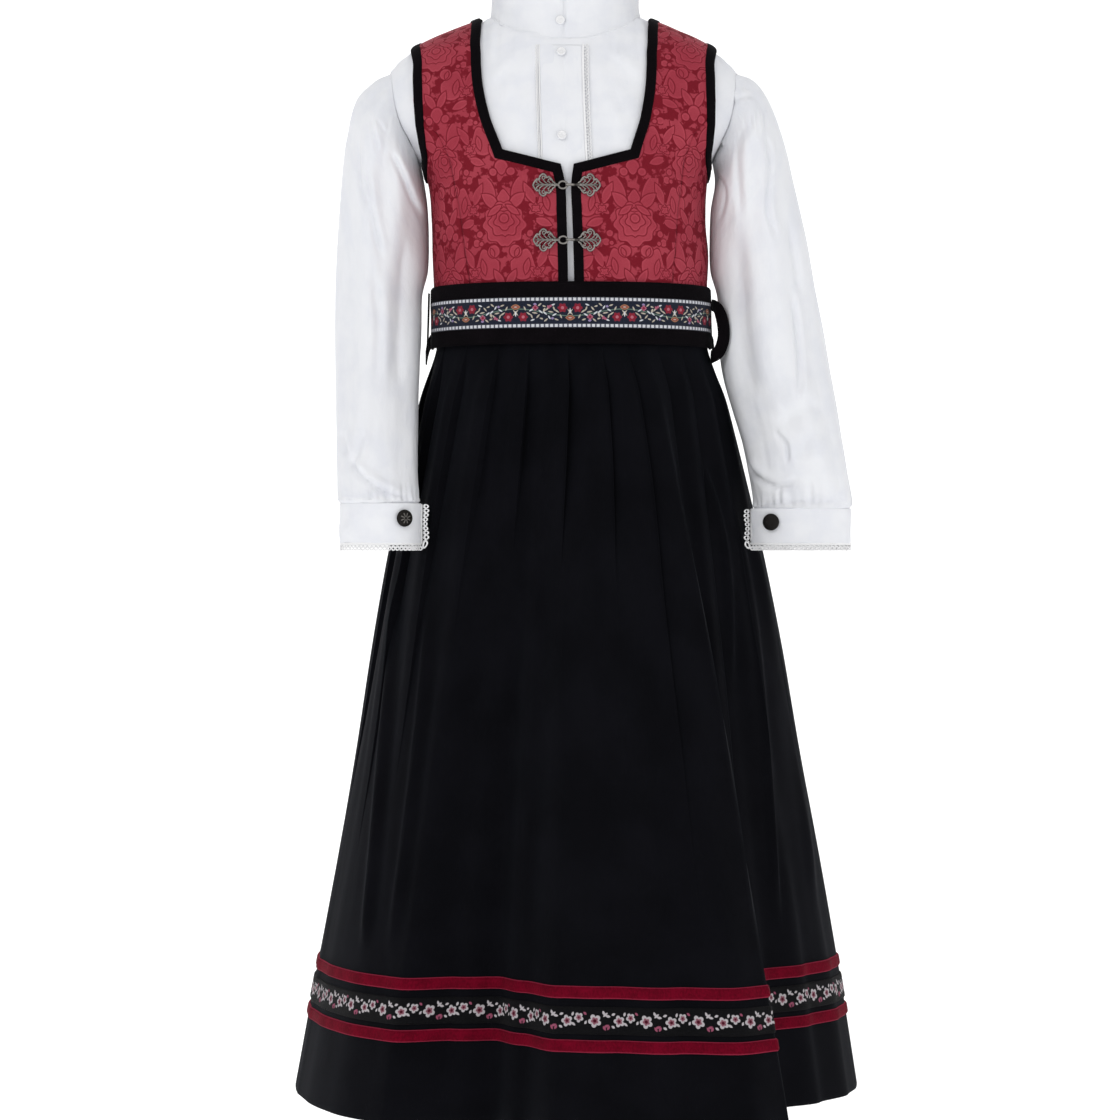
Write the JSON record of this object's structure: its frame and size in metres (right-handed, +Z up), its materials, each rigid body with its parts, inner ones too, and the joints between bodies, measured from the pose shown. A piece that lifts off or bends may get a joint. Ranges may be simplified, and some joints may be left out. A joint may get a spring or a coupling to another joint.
{
  "type": "child's folk costume",
  "caption": "Child's bunad-style costume: white shirt, red jacquard bodice with clasps, black flower-ribbon belt and long black pleated skirt with red and flowered bands.",
  "frame": {"origin": "between the shoulders, where the wearer's shoulders carry the costume", "axes": "+Z up along the body, -Y out of the front, +X towards the viewer's right"},
  "size_m": [0.4775, 0.505, 0.941],
  "materials": {
    "white_cotton": "matt cotton",
    "white_lace": "cotton lace",
    "red_jacquard": "woven jacquard, soft sheen",
    "black_velvet": "velvet",
    "woven_ribbon": "woven flower ribbon",
    "black_wool": "matt wool",
    "red_velvet": "velvet ribbon",
    "flower_ribbon": "woven flower ribbon",
    "pearl": "pearly",
    "old_pewter": "darkened pewter"
  },
  "bodies": {
    "root": {"shirt_front_left": "white_cotton", "shirt_front_right": "white_cotton", "shirt_back_left": "white_cotton", "shirt_back_right": "white_cotton", "collar": "white_cotton", "placket": "white_cotton", "placket_lace_left": "white_lace", "placket_lace_right": "white_lace", "sleeve_left": "white_cotton", "sleeve_right": "white_cotton", "cuff_left": "white_cotton", "cuff_right": "white_cotton", "cuff_lace_left": "white_lace", "cuff_lace_right": "white_lace", "cuff_button_left": "old_pewter", "cuff_button_right": "old_pewter", "collar_button": "pearl", "shirt_button_upper": "pearl", "shirt_button_lower": "pearl", "vest_front_left": "red_jacquard", "vest_front_right": "red_jacquard", "vest_side_left": "red_jacquard", "vest_side_right": "red_jacquard", "vest_back_left": "red_jacquard", "vest_back_right": "red_jacquard", "neck_binding_left": "black_velvet", "neck_binding_right": "black_velvet", "neck_binding_back": "black_velvet", "armhole_binding_left": "black_velvet", "armhole_binding_right": "black_velvet", "clasp_upper_eye": "old_pewter", "clasp_upper_hook": "old_pewter", "clasp_lower_eye": "old_pewter", "clasp_lower_hook": "old_pewter", "belt": "black_velvet", "belt_ribbon": "woven_ribbon", "tie_left": "black_velvet", "tie_right": "black_velvet", "tie_knot": "black_velvet", "tie_tail_left": "black_velvet", "tie_tail_right": "black_velvet", "waistband": "black_wool", "skirt_front": "black_wool", "skirt_back": "black_wool", "upper_ribbon_front": "red_velvet", "upper_ribbon_back": "red_velvet", "flower_band_front": "flower_ribbon", "flower_band_back": "flower_ribbon", "lower_ribbon_front": "red_velvet", "lower_ribbon_back": "red_velvet"}
  },
  "joints": []
}
